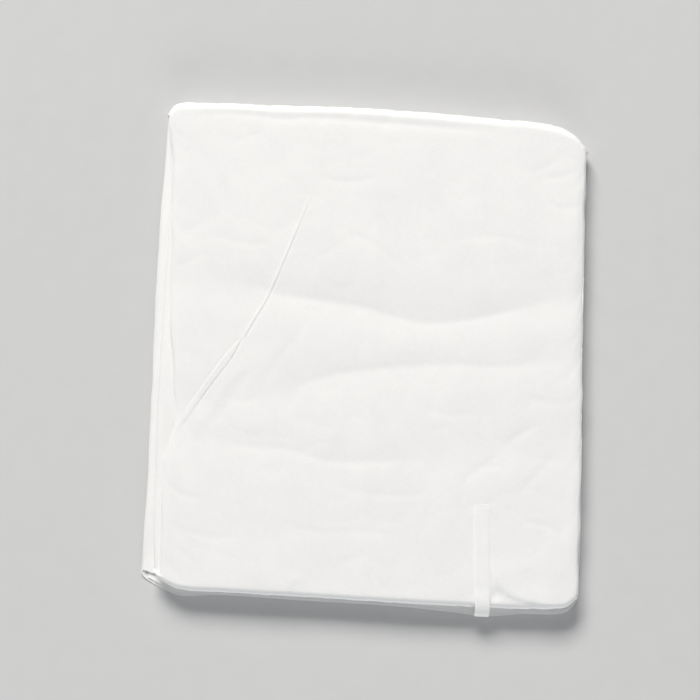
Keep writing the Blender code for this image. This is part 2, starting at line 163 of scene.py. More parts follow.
# Creases of the top sheet: depth (a ridge if negative), half widths left and right of it, line
CREASES = (
    (0.85, 9.5, 9.0, ((-112, 51), (-84, 49.5), (-59, 43.5), (-34, 41), (-5, 37.5), (24, 31),
                       (46, 28.5), (75, 33), (104, 41), (148, 54))),
    (0.65, 6.5, 13.0, ((-70, -30), (-45, -19), (-10, -9), (46, -1), (96, 0), (124, 5), (151, 11))),
    (0.45, 8.0, 4.0, ((-113, -57), (-97, -64), (-74, -66), (-53, -66), (-19, -73), (26, -70),
                      (53, -61))),
    (0.32, 6.0, 3.2, ((-20, -88), (-2, -93), (23, -95), (51, -93))),
    (0.62, 2.6, 4.4, ((-141, 158), (-136, 169), (-106, 174.5), (-69, 172), (-48, 174), (-13, 173.5),
                      (33, 172), (70, 171), (104, 170))),
    (0.34, 4.0, 2.2, ((98, -60), (112, -48), (128, -38))),
    (0.34, 2.2, 4.0, ((108, -95), (124, -76), (142, -55))),
    (0.28, 2.2, 3.6, ((72, -84), (88, -70), (101, -58))),
    (0.34, 2.0, 3.0, ((117, -141), (126, -151), (133, -157))),
    (0.26, 2.0, 3.4, ((-74, -30), (-66, -10), (-52, 12), (-36, 34))),
    (0.22, 2.6, 1.8, ((-58, -44), (-47, -28), (-38, -14))),
    (-0.34, 5.0, 3.6, ((-124, -64), (-108, -40), (-92, -16), (-80, 2))),
    (0.20, 1.4, 2.6, ((-113, -62), (-99, -41), (-84, -17), (-73, -2))),
    (0.26, 4.0, 2.4, ((-128, 152), (-114, 120), (-105, 97))),
    (0.28, 2.4, 4.0, ((141, 163), (128, 148), (109, 139))),
    (0.30, 1.8, 3.0, ((148, 146), (134, 139), (119, 137))),
    (0.26, 3.6, 2.0, ((151, 118), (138, 116), (121, 121))),
    (0.22, 2.0, 4.0, ((-24, 172), (-17, 142), (-14, 113))),
    (0.24, 3.6, 2.0, ((44, 166), (52, 140), (66, 119))),
    (0.30, 2.2, 3.6, ((-138, -92), (-124, -101), (-108, -104))),
    (0.28, 3.4, 2.0, ((-136, -119), (-120, -127), (-98, -131), (-80, -129))),
    (0.24, 2.6, 4.4, ((-60, -117), (-30, -123), (6, -121), (34, -125))),
    (0.34, 2.0, 3.0, ((-135, -146), (-126, -155), (-117, -165))),
    (0.30, 2.6, 1.8, ((-128, -137), (-112, -150), (-106, -162))),
    (0.24, 2.0, 3.4, ((60, -133), (64, -149), (66, -164))),
    (0.24, 2.8, 1.8, ((10, -145), (13, -157), (13, -168))),
    (0.26, 2.0, 3.4, ((150, -119), (131, -111), (112, -109))),
    (0.24, 4.0, 2.2, ((150, -20), (134, -24), (112, -20))),
    (0.24, 2.6, 5.0, ((122, 85), (96, 93), (70, 91), (48, 83))),
    (0.22, 4.0, 2.2, ((-116, 86), (-88, 79), (-64, 81))),
    (0.22, 2.2, 4.0, ((-24, 93), (0, 85), (20, 71), (30, 59))),
    (0.20, 2.0, 3.4, ((-44, 132), (-20, 128), (8, 133))),
    (0.20, 3.4, 2.0, ((88, 128), (100, 112), (104, 96))),
    (0.20, 2.2, 3.6, ((36, -30), (58, -36), (84, -34))),
    (0.20, 2.0, 3.0, ((-96, 26), (-84, 8), (-78, -12))),
)
# Steps where an edge of cloth beneath shows through, or where the sheet turns over itself
PLY_STEPS = (                # height, half width, how far the raised side reaches, line
    (0.24, 2.0, 14.0, ((8, -166), (9, -60), (6, 40), (9, 174))),
    (0.22, 1.4, 10.0, ((-37.5, -171), (-36, -150), (-33, -120), (-20, -60), (-4, -24))),
    (0.22, 2.4, 16.0, ((66, 176), (72, 90), (92, 10), (118, -60))),
    (1.5, 1.5, 20.0, ((93.5, -132), (96.5, -146), (102, -156), (111, -162), (124, -165.5),
                      (152, -168))),
    (0.55, 1.6, 8.0, ((-48, -171), (-43.5, -162), (-38, -153))),
)
# Small hollows: depth, place, half widths
HOLLOWS = ((1.3, (99.0, -161.5), (3.2, 4.2)), (0.5, (-133, -58), (3.0, 7.0)))

# Creases along the two turns: distance past the middle of the bend, depth, half width, wander
LOWER_TURN_LINES = ((-3.4, 0.34, 1.3, 2.4), (2.6, 0.26, 1.2, 2.2))
UPPER_TURN_LINES = ((-6.0, 0.34, 1.9, 3.0), (0.6, 0.30, 1.8, 3.0), (6.8, 0.34, 1.9, 3.0))

TURN_WANDER_SIZE = 38.0
TURN_STRENGTH = (0.6, 21.0, 1.2)     # middle, length over which it changes, most
TURN_SEEDS = (7.7, 3.1, 50.0)        # steps in the noise from line to line, and between the two

# Puckers along the turns and side folds: seed, ranges of spacing, depth and reach
UPPER_PUCKERS = (11, (6, 17), (0.12, 0.55), (5, 17))
LOWER_PUCKERS = (12, (6, 16), (0.12, 0.50), (4, 13))
LEFT_PUCKERS = (13, (7, 22), (0.10, 0.50), (4, 12))
RIGHT_PUCKERS = (14, (7, 22), (0.10, 0.50), (4, 14))
PUCKER_HALF_WIDTH = (1.6, 4.2)
PUCKER_LEAN = 0.35

SWELLS = ((0.44, 52.0, 1), (0.10, 19.0, 2))      # height, size, seed
CRAZES = ((0.24, 27.0, 4), (0.12, 15.0, 5))      # depth, size, seed
CRAZE_WIDTH = 0.10           # in the noise's own height, from -1 to 1
CRAZE_PATCHES = (0.5, 1.3, 2.3, 20)  # middle and swing of the strength, size as a share, seed
PLY_SWELL = (0.16, 21.0)     # height and size, for the hidden plies and the back panels

LOOKS_UP = (-0.25, 0.6)      # from this slope of its face, over so much more, cloth looks up
LOOKS_DOWN = (0.6, 0.3)
TOP_ABOVE = 10.0             # height over which cloth that looks up is the top sheet
UNDER_BELOW = 0.5            # height below which cloth that looks down is the underside
HALF_FLAT = 310.0            # the front sheet's middle, in cloth distance from its left edge

# Shallow creases on the underside
UNDER_CREASES = (
    (0.34, 4.0, 2.6, ((-140, 96), (-60, 82), (20, 88), (120, 70))),
    (0.30, 2.6, 4.0, ((-120, -30), (-40, -20), (60, -38), (140, -30))),
    (0.24, 3.0, 2.0, ((-60, 150), (-42, 60), (-30, -10))),
    (0.24, 2.0, 3.0, ((70, -150), (60, -90), (40, -40))),
    (0.22, 3.0, 2.0, ((-130, -120), (-90, -104), (-40, -110))),
    (0.22, 2.0, 3.0, ((100, 150), (90, 120), (96, 80))),
)

# Waist tie
TIE_WIDTH = 10.5
TIE_SIDES = ((-170, 90.0), (-148, 89.0), (-98, 87.0))   # y, x of its middle
TIE_ROOT_Y = -98.0
TIE_LEAVES_Y = -157.0        # here it lifts off the top sheet
TIE_STEP = 0.8               # between two rows of the laid part
TIE_LIFT = (90.5, 0.35)      # x at which the loop starts, and its height over the top sheet
TIE_LOOP = (                 # y, z of its middle, round the lower turn and into the slot
    (-162.3, 16.3), (-168.3, 15.8), (-173.0, 13.9), (-176.0, 10.8), (-176.3, 8.2),
    (-174.2, 6.4), (-169.3, 5.75), (-157.0, 5.72),
)
TIE_LOOP_PARTS = 10          # rows between two points of the loop
TIE_COLUMNS = 14
TIE_BLEND = 15               # rows over which it lifts off into its loop
TIE_SWAY = (0.7, 26.0, 3.3)  # reach to either side, length, row of the noise
TIE_UNEVEN = (0.05, 9.0, 8.1)    # the same for its width, as a share
TIE_CLEAR = (0.02, 0.08, 9.0)    # over the top sheet at its root, and past so many mm
TIE_EDGES = (0.14, 0.72)     # how far its edges bend down, from this share of its half width
TIE_SWELL = (0.22, 15.0, 61)     # height, size, seed
TIE_IRONING = (6, 0.05)      # rounds, and how far it may sink into the top sheet's relief
TIE_WELDS = (4, 3)           # welded spots across and along its root
TIE_WELD_PITCH = (2.3, 3.2)
TIE_WELD_START = 2.4
TIE_WELD_HALF = (0.75, 1.0)
TIE_WELD_DEPTH = 0.13

# Camera, and the packet's place and turn in the photo's frame
CAMERA_DISTANCE = 1.35
CAMERA_ELEVATION = math.radians(83.5)
PACKET_ROLL = math.radians(2.8)
PHOTO_MM_PER_PIXEL = 0.71
PHOTO_SIZE = 700
PACKET_PIXEL = (365, 360)    # where the packet's own middle lies in the photo
TOP_SHEET_Z = 15.0           # height at which the photo's scale holds
SENSOR = 36.0

LIGHTS = (                   # name, size, power, place, colour
    ("far_window", (3.6, 2.3), 590.0, (-1.6, 5.4, 3.9), (1.0, 0.98, 0.945)),
    ("overhead", (1.6, 1.6), 4.5, (0.2, -0.9, 2.4), (1.0, 0.995, 0.985)),
    ("near_fill", (2.6, 0.9), 46.0, (0.4, -3.0, 0.75), (0.97, 0.985, 1.0)),
)
ROOM_COLOUR = (0.97, 0.985, 1.0, 1.0)
ROOM_STRENGTH = 0.19
FLOOR_SIZE = 6.0
FLOOR_DROP = 0.0003          # in metres, under the packet
FLOOR_COLOURS = ((0.60, 0.605, 0.61), (0.63, 0.635, 0.64))

# Finishes: two colours, roughness, bond pitch, fibre width, cloud size, sheen
FINISHES = {
    "gown_cloth": (((0.845, 0.845, 0.85), (0.935, 0.935, 0.93)), 0.80, 1.1, 0.45, 32.0, 0.08),
    # hidden plies: the gown cloth's colours made darker and a little bluer, painted shade for plies
    # that lie inside the packet
    "inner_plies": (((0.82, 0.83, 0.84), (0.91, 0.915, 0.92)), 0.80, 1.1, 0.45, 32.0, 0.08),
    "tie_cloth": (((0.88, 0.88, 0.88), (0.95, 0.95, 0.945)), 0.72, 0.9, 0.3, 9.0, 0.06),
}
CLOTH_SHADER = {
    "Sheen Roughness": 0.45, "Specular IOR Level": 0.25, "Subsurface Weight": 0.12,
    "Subsurface Radius": (1.0, 0.97, 0.94), "Subsurface Scale": 0.002,
}
BOND_ANGLE = math.radians(45)
BOND_EDGE = (0.16, 0.34)     # from a bond's middle, as a share of the pitch
BOND_SHINE = 0.16            # how much smoother a bond is
WEB_LAYS = ((12, 9.0), (-38, 8.0), (71, 7.0))    # degrees, a fibre's length to its width
WEB_SUM = (1.1, 1.9)         # range of the three webs' sum
FIBRE_SHARE = 0.65           # of the colour's change, and the clouds' share
CLOUD_SHARE = 0.35
WRINKLE_SIZE = 11.0


def smooth(share):
    """Ease from 0 to 1."""
    share = np.clip(share, 0.0, 1.0)
    return share * share * (3.0 - 2.0 * share)


def mix(first, second, share):
    return first + (second - first) * share


def look_up(rows, key, column=1):
    """Values of a table's column at keys, on a curve whose slopes follow the neighbouring rows."""
    keys = np.array([row[0] for row in rows], float)
    values = np.array([row[column] for row in rows], float)
    key = np.clip(key, keys[0], keys[-1])
    low = np.clip(np.searchsorted(keys, key, side="right") - 1, 0, len(keys) - 2)
    high = low + 1
    before = np.maximum(low - 1, 0)
    after = np.minimum(low + 2, len(keys) - 1)
    span = keys[high] - keys[low]
    share = (key - keys[low]) / span
    slope_low = (values[high] - values[before]) / (keys[high] - keys[before])
    slope_high = (values[after] - values[low]) / (keys[after] - keys[low])
    cube, square = share ** 3, share ** 2
    return ((2 * cube - 3 * square + 1) * values[low]
            + (cube - 2 * square + share) * span * slope_low
            + (3 * square - 2 * cube) * values[high]
            + (cube - square) * span * slope_high)


def crowned(x, y, z):
    """The whole packet rises a little to its middle, and its underside stays flat."""
    across = np.maximum(0.0, 1.0 - np.abs(x / PACKET_REACH[0]) ** 3)
    along = np.maximum(0.0, 1.0 - np.abs(y / PACKET_REACH[1]) ** 3)
    top = HEM_HEIGHT + SLOT_AT_TOP + NECK_HEIGHT + INNER_GAP + WAIST_HEIGHT
    return z * (1.0 + CROWN / top * across * along)


def trough(x, y):
    return -sum(depth * np.exp(-((y - look_up(line, x)) / half_width) ** 2)
                for depth, half_width, line in TROUGHS)


def lifted_share(n, height):
    """How much of a trough reaches height n of the waist third: none below, all on top."""
    rim = WALL + PLY_GAP
    return smooth((n - rim) / (height - 2.0 * rim))


class Station:
    """One place along the strip: where its inner face lies and which way its outer face looks."""

    def __init__(self, run, share, turn, radius, centre, height, sides, edges, relief=0.0,
                 stagger=0.0):
        self.run = run            # neck, waist, hem, or lower, upper for a turn
        self.share = share
        self.turn = turn
        self.radius = radius
        self.centre = centre
        self.height = height
        self.sides = sides
        self.edges = edges
        self.relief = relief
        self.stagger = stagger

    def y_of(self, x):
        low, high = self.edges
        return mix(low(x), high(x), self.share)

    def pinch(self):
        """How far in from its folds the sheet is level here."""
        if self.run == "lower":
            return mix(PINCH["neck"], PINCH["waist"], (DOWN - self.turn) / math.pi)
        if self.run == "upper":
            return mix(PINCH["waist"], PINCH["hem"], (UP - self.turn) / math.pi)
        return PINCH[self.run]

    def place(self, x, n):
        """Points, in mm, at distances x across and heights n above the inner face."""
        y = self.y_of(x)
        if self.relief:
            n = n + self.relief * trough(x, y) * lifted_share(n, self.height)
        y = y + self.stagger * HEM_STAGGER * (self.height - n)
        free = y - hem_y(x)
        y = y + (self.radius + n) * math.cos(self.turn)
        z = self.centre + (self.radius + n) * math.sin(self.turn)
        if self.run == "hem":
            side, reach, from_end = PRESSED_CORNER
            z = z * (1.0 - PRESSED * smooth((side - x) / reach) * smooth(1.0 - free / from_end))
        return np.stack([x + 0.0 * y, y, crowned(x, y, z)], axis=-1)


def lower_turn_y(x):
    return look_up(LOWER_EDGE, x) + LOWER_RADIUS + WAIST_HEIGHT


def upper_turn_y(x):
    return look_up(UPPER_EDGE, x) - UPPER_RADIUS - HEM_HEIGHT


def neck_y(x):
    return upper_turn_y(x) + NECK_REACH


def hem_y(x):
    return look_up(HEM_EDGE, x)


def sides_at(rows, y):
    """Left and right x of a run's sides, which waver a little as soft folds do."""
    seed = rows[0][2]
    left = WAVER * noise.noise(Vector((y / WAVER_SIZE, seed, 0.0)))
    right = WAVER * noise.noise(Vector((y / WAVER_SIZE, seed, OTHER_SIDE)))
    return float(look_up(rows, y, 1)) + left, float(look_up(rows, y, 2)) + right


def neck_inner_z(share):
    return HEM_HEIGHT + mix(SLOT_AT_TIE, SLOT_AT_TOP, share) + NECK_HEIGHT


def neck_third(steps):
    edges = (lower_turn_y, neck_y)
    stations = []
    for step in range(steps + 1):
        share = 1.0 - step / steps
        sides = sides_at(NECK_SIDES, mix(edges[0](0.0), edges[1](0.0), share))
        stations.append(Station("neck", share, DOWN, 0.0, neck_inner_z(share), NECK_HEIGHT,
                                sides, edges))
    return stations


def turn_stations(run, steps, start_turn, radius, centre, heights, sides, edge, edge_share):
    """Stations round a half turn, without its first and last, which are the runs' own.

    The sides pass from one run's to the other's on the half that lies on top.
    """
    first = 0.0 if start_turn > 0.0 else 0.5
    stations = []
    for step in range(1, steps):
        share = step / steps
        ends = tuple(mix(a, b, smooth((share - first) / 0.5)) for a, b in zip(*sides))
        stations.append(Station(run, edge_share, start_turn - math.pi * share, radius, centre,
                                mix(heights[0], heights[1], share), ends, (edge, edge)))
    return stations


def lower_turn(steps):
    return turn_stations("lower", steps, DOWN, LOWER_RADIUS, neck_inner_z(0.0) + LOWER_RADIUS,
                         (NECK_HEIGHT, WAIST_HEIGHT), (NECK_SIDES[0][1:], WAIST_SIDES[0][1:]),
                         lower_turn_y, 0.0)


def upper_turn(steps):
    return turn_stations("upper", steps, UP, UPPER_RADIUS, HEM_HEIGHT + UPPER_RADIUS,
                         (WAIST_HEIGHT, HEM_HEIGHT), (WAIST_SIDES[-1][1:], HEM_SIDES[-1][1:]),
                         upper_turn_y, 1.0)


def waist_third(steps):
    edges = (lower_turn_y, upper_turn_y)
    stations = []
    for step in range(steps + 1):
        share = step / steps
        sides = sides_at(WAIST_SIDES, mix(edges[0](0.0), edges[1](0.0), share))
        relief = float(smooth(share / RELIEF_EASE) * smooth((1.0 - share) / RELIEF_EASE))
        stations.append(Station("waist", share, UP, 0.0, neck_inner_z(share) + INNER_GAP,
                                WAIST_HEIGHT, sides, edges, relief))
    return stations


def hem_third(steps):
    edges = (hem_y, upper_turn_y)
    stations = []
    for step in range(steps + 1):
        share = 1.0 - step / steps
        sides = sides_at(HEM_SIDES, mix(edges[0](0.0), edges[1](0.0), share))
        stagger = float(smooth(1.0 - share * steps / STAGGER_ROWS))
        stations.append(Station("hem", share, DOWN, 0.0, HEM_HEIGHT, HEM_HEIGHT, sides, edges,
                                stagger=stagger))
    return stations


# Columns across the front sheet
RETURN_COLUMNS = 4           # under each side
FOLD_COLUMNS = 22            # round each side fold
FACE_COLUMNS = 132           # over the outer face
PLEAT_CLOSER = 3.4           # how much closer they stand along the pleat
PLEAT_NEAR = 7.0             # and how far from it


def face_columns(left, right, centre):
    """Places of the columns between the side folds, closer together about the pleat."""
    x = np.linspace(left, right, 600)
    closeness = np.cumsum(1.0 + PLEAT_CLOSER * np.exp(-((x - centre) / PLEAT_NEAR) ** 2))
    closeness = (closeness - closeness[0]) / (closeness[-1] - closeness[0])
    return np.interp(np.linspace(0.0, 1.0, FACE_COLUMNS + 1), closeness, x)


def fold_profile(station, seed):
    """Reach outwards and height of a side fold, from below to above, with the lines of its plies."""
    share = np.linspace(-1.0, 1.0, FOLD_COLUMNS + 1)
    angle = 0.5 * math.pi * np.sign(share) * np.abs(share) ** FOLD_CROWDING
    rise = 0.5 + 0.5 * np.sin(angle)
    reach = station.pinch() * np.cos(angle)
    along = station.turn * PLY_WANDER[0] + station.y_of(0.0) / PLY_WANDER[1]
    least, varies = PLY_DEPTH_VARIES
    for index, (place, depth, half_width, wander) in enumerate(SIDE_PLIES):
        drift = noise.noise(Vector((along, seed * PLY_SEEDS[0], index * PLY_SEEDS[1])))
        near = (rise - place - wander * drift) / half_width
        reach = reach - depth * (least + varies * drift) * np.exp(-near ** 2)
    return reach, rise * station.height


def front_section(station):
    """Columns x, n of the front sheet: under the left side, over the outer face, under the right."""
    left, right = station.sides
    pinch = station.pinch()
    middle = (left + right) / 2.0
    left_reach, left_n = fold_profile(station, 1)
    right_reach, right_n = fold_profile(station, 2)
    inward = np.linspace(0.0, 1.0, RETURN_COLUMNS, endpoint=False)
    left_return = mix(middle - RETURN_GAP / 2.0, left + pinch, inward)
    right_return = mix(right - pinch, middle + RETURN_GAP / 2.0, inward + 1.0 / RETURN_COLUMNS)
    centre = float(look_up(PLEAT_PATH, station.y_of(0.0)))
    face = face_columns(left + pinch, right - pinch, centre)[1:-1]
    x = np.concatenate([left_return, left + pinch - left_reach, face,
                        right - pinch + right_reach[::-1], right_return])
    n = np.concatenate([0 * left_return, left_n, station.height + 0 * face, right_n[::-1],
                        0 * right_return])
    return x, n


def pleat_field(x, y):
    """Height of the pleat: a low band between two crisp lines, then a thin ridge."""
    to_right, along = from_line(x, y, PLEAT_RIGHT)
    to_left, _ = from_line(x, y, PLEAT_LEFT)
    depth, half_width = PLEAT_GROOVE
    ends = smooth(along / PLEAT_ENDS[0]) * smooth((1.0 - along) / PLEAT_ENDS[1])
    between = smooth(to_right / PLEAT_BANK) * smooth(-to_left / PLEAT_BANK)
    total = ends * PLEAT_RISE * between
    total -= ends * depth * np.exp(-(to_right / half_width) ** 2)
    total -= LEFT_LINE * ends * depth * np.exp(-(to_left / half_width) ** 2)
    off, along = from_line(x, y, PLEAT_RIDGE)
    ends = smooth(along / RIDGE_ENDS[0]) * smooth((1.0 - along) / RIDGE_ENDS[1])
    rise, half_width = RIDGE_RISE
    foot_share, foot_off, foot_width = RIDGE_FOOT
    total += ends * rise * np.exp(-(off / half_width) ** 2)
    total -= ends * foot_share * rise * np.exp(-((off + foot_off) / foot_width) ** 2)
    return total


def grid_normals(points):
    """Outward normals of a grid of points whose columns run across and rows run along."""
    across = np.gradient(points, axis=1)
    along = np.gradient(points, axis=0)
    normals = np.cross(across, along)
    return normals / np.maximum(np.linalg.norm(normals, axis=-1, keepdims=True), 1e-9)


def run_lengths(points, axis):
    """Distance along the grid lines of one axis, from their first point."""
    steps = np.linalg.norm(np.diff(points, axis=axis), axis=-1)
    start = np.zeros_like(np.take(steps, [0], axis=axis))
    return np.cumsum(np.concatenate([start, steps], axis=axis), axis=axis)


def softened(line, parts=8):
    """More points on a line, on a soft curve through its own."""
    points = np.array([line[0], *line, line[-1]], float)
    shares = np.linspace(0.0, 1.0, parts, endpoint=False)[:, None]
    pieces = []
    for a, b, c, d in zip(points, points[1:], points[2:], points[3:]):
        pieces.append(0.5 * (2 * b + (c - a) * shares + (2 * a - 5 * b + 4 * c - d) * shares ** 2
                             + (3 * b - a - 3 * c + d) * shares ** 3))
    pieces.append(points[-1:])
    return np.concatenate(pieces)


def from_line(x, y, line):
    """Signed distance of places from a line, and how far along it, as a share, they lie."""
    points = softened(line)
    lengths = np.linalg.norm(np.diff(points, axis=0), axis=1)
    starts = np.concatenate([[0.0], np.cumsum(lengths)])
    best = np.full(x.shape, 1e9)
    signed = np.zeros(x.shape)
    share = np.zeros(x.shape)
    for (a, b), length, start in zip(zip(points, points[1:]), lengths, starts):
        run = (b - a) / max(length, 1e-9)
        along = np.clip((x - a[0]) * run[0] + (y - a[1]) * run[1], 0.0, length)
        dx, dy = x - a[0] - along * run[0], y - a[1] - along * run[1]
        distance = np.hypot(dx, dy)
        nearer = distance < best
        best = np.where(nearer, distance, best)
        signed = np.where(nearer, distance * np.sign(run[0] * dy - run[1] * dx + 1e-12), signed)
        share = np.where(nearer, (start + along) / starts[-1], share)
    return signed, share


def ends_fade(share):
    """1 along the middle of a line and 0 at both of its ends."""
    return smooth(share / ENDS_FADE) * smooth((1.0 - share) / ENDS_FADE)


def crease_field(x, y, creases):
    """Height of soft pressed creases: deepest in the middle of each line, gone at its ends."""
    total = np.zeros(x.shape)
    for depth, left_width, right_width, line in creases:
        signed, share = from_line(x, y, line)
        half_width = np.where(signed > 0.0, left_width, right_width)
        heart = np.maximum(HEART_WIDTH * half_width, FINEST)
        total -= depth * ends_fade(share) * mix(np.exp(-(signed / half_width) ** 2),
                                                np.exp(-(signed / heart) ** 2), HEART_SHARE)
    return total


def step_field(x, y, steps):
    """Height of edges that show through: a bank on the left of each line."""
    total = np.zeros(x.shape)
    for height, half_width, reach, line in steps:
        signed, share = from_line(x, y, line)
        bank = np.exp(-np.maximum(signed, 0.0) / reach) * smooth(signed / half_width * 0.5 + 0.5)
        total += height * bank * ends_fade(share)
    return total


def hollow_field(x, y, hollows):
    """Height of the small round hollows."""
    total = np.zeros(x.shape)
    for depth, place, half_widths in hollows:
        off = ((x - place[0]) / half_widths[0]) ** 2 + ((y - place[1]) / half_widths[1]) ** 2
        total -= depth * np.exp(-off)
    return total


def unevenness(points, size, seed):
    """Soft random swell, from -1 to 1, of a given size in mm."""
    flat = points.reshape(-1, 3) / size + seed * 17.3
    values = [noise.noise(Vector(place)) for place in flat.tolist()]
    return np.array(values).reshape(points.shape[:-1])


def crazing(points, depth, size, seed):
    """Faint crossing creases of thin cloth that was pressed flat, here clearer and there gone."""
    line = unevenness(points, size, seed)
    middle, swing, patch, seed_step = CRAZE_PATCHES
    strength = smooth(middle + swing * unevenness(points, patch * size, seed + seed_step))
    return -depth * strength * np.exp(-np.abs(line / CRAZE_WIDTH))


def puckers(at, away, seed, spacing, depths, reaches):
    """Small troughs square to a fold, at uneven places along it and of uneven depth and reach."""
    draw = random.Random(seed)
    total = np.zeros(at.shape)
    place = float(at.min())
    while place < float(at.max()):
        place += draw.uniform(*spacing)
        depth, reach = draw.uniform(*depths), draw.uniform(*reaches)
        half_width = draw.uniform(*PUCKER_HALF_WIDTH)
        lean = draw.uniform(-PUCKER_LEAN, PUCKER_LEAN)
        near = np.exp(-((at - place - lean * away) / half_width) ** 2)
        total -= depth * near * np.exp(-(away / reach) ** 2)
    return total


def noise_along(x, size, second, third):
    """Soft random values, from -1 to 1, along x."""
    values = [noise.noise(Vector((value / size, second, third))) for value in x.ravel().tolist()]
    return np.array(values).reshape(x.shape)


def turn_lines(off, x, lines):
    """Shallow creases that run along a turn and wander about the middle of its bend."""
    middle, size, most = TURN_STRENGTH
    wander_step, strength_step, apart = TURN_SEEDS
    total = np.zeros(off.shape)
    for index, (place, depth, half_width, wander) in enumerate(lines):
        drift = noise_along(x, TURN_WANDER_SIZE, place, index * wander_step)
        strength = middle + noise_along(x, size, place, index * strength_step + apart)
        near = (off - place - wander * drift) / half_width
        total -= depth * np.clip(strength, 0.0, most) * np.exp(-near ** 2)
    return total


def add_grid(name, rows, columns):
    """A grid primitive, active and selected, whose points come row by row."""
    bpy.ops.object.select_all(action="DESELECT")
    bpy.ops.mesh.primitive_grid_add(x_subdivisions=columns - 1, y_subdivisions=rows - 1, size=1.0)
    piece = bpy.context.object
    piece.name = name
    piece.data.name = name
    return piece


def sheet_from(name, points, across, along, thickness):
    """A cloth sheet through a grid of points in mm: its UV map holds cloth distances in metres."""
    rows, columns = points.shape[:2]
    piece = add_grid(name, rows, columns)
    placed = (points.reshape(-1, 3) + PACKET_SHIFT) * MM
    piece.data.vertices.foreach_set("co", placed.astype(np.float32).ravel())
    loops = np.zeros(len(piece.data.loops), np.int32)
    piece.data.loops.foreach_get("vertex_index", loops)
    spread = np.stack([across.reshape(-1), along.reshape(-1)], axis=-1) * MM
    piece.data.uv_layers[0].uv.foreach_set("vector", spread[loops].astype(np.float32).ravel())
    piece.data.uv_layers[0].name = "cloth"
    piece.data.update()
    wall = piece.modifiers.new("ply", "SOLIDIFY")
    wall.thickness = thickness * MM
    wall.offset = -1.0
    wall.use_even_offset = False
    bpy.ops.object.modifier_apply(modifier=wall.name)
    bpy.ops.object.shade_smooth_by_angle(angle=SHARP)
    return piece


def strip_points(stations, section):
    """A row of points for each station."""
    rows = []
    for station in stations:
        x, n = section(station)
        rows.append(station.place(x, n))
    return np.array(rows)


def solid_low_corner():
    """Low x and y, in mm, of the front panel's solid before it was moved onto the origin."""
    low_x = look_up(HEM_SIDES, np.linspace(HEM_SIDES[0][0], HEM_SIDES[-1][0], 100)).min()
    low_y = []
    for station in lower_turn(SOLID_STEPS) + hem_third(SOLID_STEPS):
        x = np.linspace(*station.sides, 200)
        low_y.append(station.place(x, np.full(x.shape, station.height))[:, 1].min())
    return low_x, min(low_y)


def packet_shift():
    """From the folds' own frame to the frame of the part, in mm."""
    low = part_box("front_panel")[0]
    own = solid_low_corner()
    return np.array([low.x / MM - own[0], low.y / MM - own[1], 0.0])


PACKET_SHIFT = packet_shift()


def front_sheet():
    """The outer sheet of the whole strip, with every crease."""
    neck, lower, waist, upper, hem = FRONT_STEPS
    stations = (neck_third(neck) + lower_turn(lower) + waist_third(waist) + upper_turn(upper)
                + hem_third(hem))
    runs = np.array([station.run for station in stations])
    points = strip_points(stations, front_section)
    normals = grid_normals(points)
    across, along = run_lengths(points, 1), run_lengths(points, 0)
    left_apex = RETURN_COLUMNS + FOLD_COLUMNS // 2
    right_apex = across.shape[1] - 1 - left_apex
    from_left = np.abs(across - across[:, [left_apex]])
    from_right = np.abs(across - across[:, [right_apex]])
    nearest_fold = np.minimum(from_left, from_right)
    lower_apex = int(np.argmin(points[:, across.shape[1] // 2, 1] + 1000 * (runs == "hem")))
    upper_apex = int(np.argmax(points[:, across.shape[1] // 2, 1]))
    from_lower = np.abs(along - along[[lower_apex]])
    from_upper = np.abs(along - along[[upper_apex]])

    x, y = points[..., 0], points[..., 1]
    slope, z = normals[..., 2], points[..., 2]
    looks_up = smooth((slope - LOOKS_UP[0]) / LOOKS_UP[1]) * (z > TOP_ABOVE)
    looks_down = smooth((-slope - LOOKS_DOWN[0]) / LOOKS_DOWN[1]) * (z < UNDER_BELOW)
    rise = looks_up * (crease_field(x, y, CREASES) + step_field(x, y, PLY_STEPS)
                       + hollow_field(x, y, HOLLOWS) + pleat_field(x, y))
    rise += puckers(x, from_upper, *UPPER_PUCKERS)
    rise += puckers(x, from_lower, *LOWER_PUCKERS)
    rise += puckers(along, from_left, *LEFT_PUCKERS)
    rise += puckers(along, from_right, *RIGHT_PUCKERS)
    for height, size, seed in SWELLS:
        rise += height * unevenness(points, size, seed)
    for depth, size, seed in CRAZES:
        rise += crazing(points, depth, size, seed)
    rise += turn_lines(along - along[[lower_apex]], x, LOWER_TURN_LINES)
    rise += turn_lines(along - along[[upper_apex]], x, UPPER_TURN_LINES)
    from_bend, over = FOLD_QUIET_REACH
    rise *= (1.0 - looks_down) * mix(FOLD_QUIET, 1.0, smooth((nearest_fold - from_bend) / over))
    points = points + normals * rise[..., None]
    x, y = points[..., 0], points[..., 1]
    dents = np.minimum(crease_field(x, y, UNDER_CREASES), 0.0) * looks_down
    points[..., 2] = np.maximum(points[..., 2] - dents, 0.0)
    middle = across[:, [across.shape[1] // 2]]
    return sheet_from("front_sheet", points, across - middle + HALF_FLAT, along, SHEET)


def flat_sheet(name, stations, spans, columns, height, seed):
    """A hidden ply that lies along the strip at one height, not folded round its sides."""
    def section(station):
        left, right = spans(station)
        x = np.linspace(left, right, columns)
        return x, np.full(x.shape, height + SHEET)
    points = strip_points(stations, section)
    points[..., 2] += PLY_SWELL[0] * unevenness(points, PLY_SWELL[1], seed)
    return sheet_from(name, points, run_lengths(points, 1), run_lengths(points, 0), SHEET)


def back_sheet(name, side, height, seed):
    """One back panel in the hem third. side is -1 for the left and 1 for the right."""
    def spans(station):
        left, right = station.sides
        middle = (left + right) / 2.0
        if side < 0:
            return left + station.pinch() * BACK_INSET, middle + BACK_OVERLAP / 2.0
        return middle - BACK_OVERLAP / 2.0, right - station.pinch() * BACK_INSET
    return flat_sheet(name, hem_third(BACK_STEPS)[1:], spans, BACK_COLUMNS, height, seed)


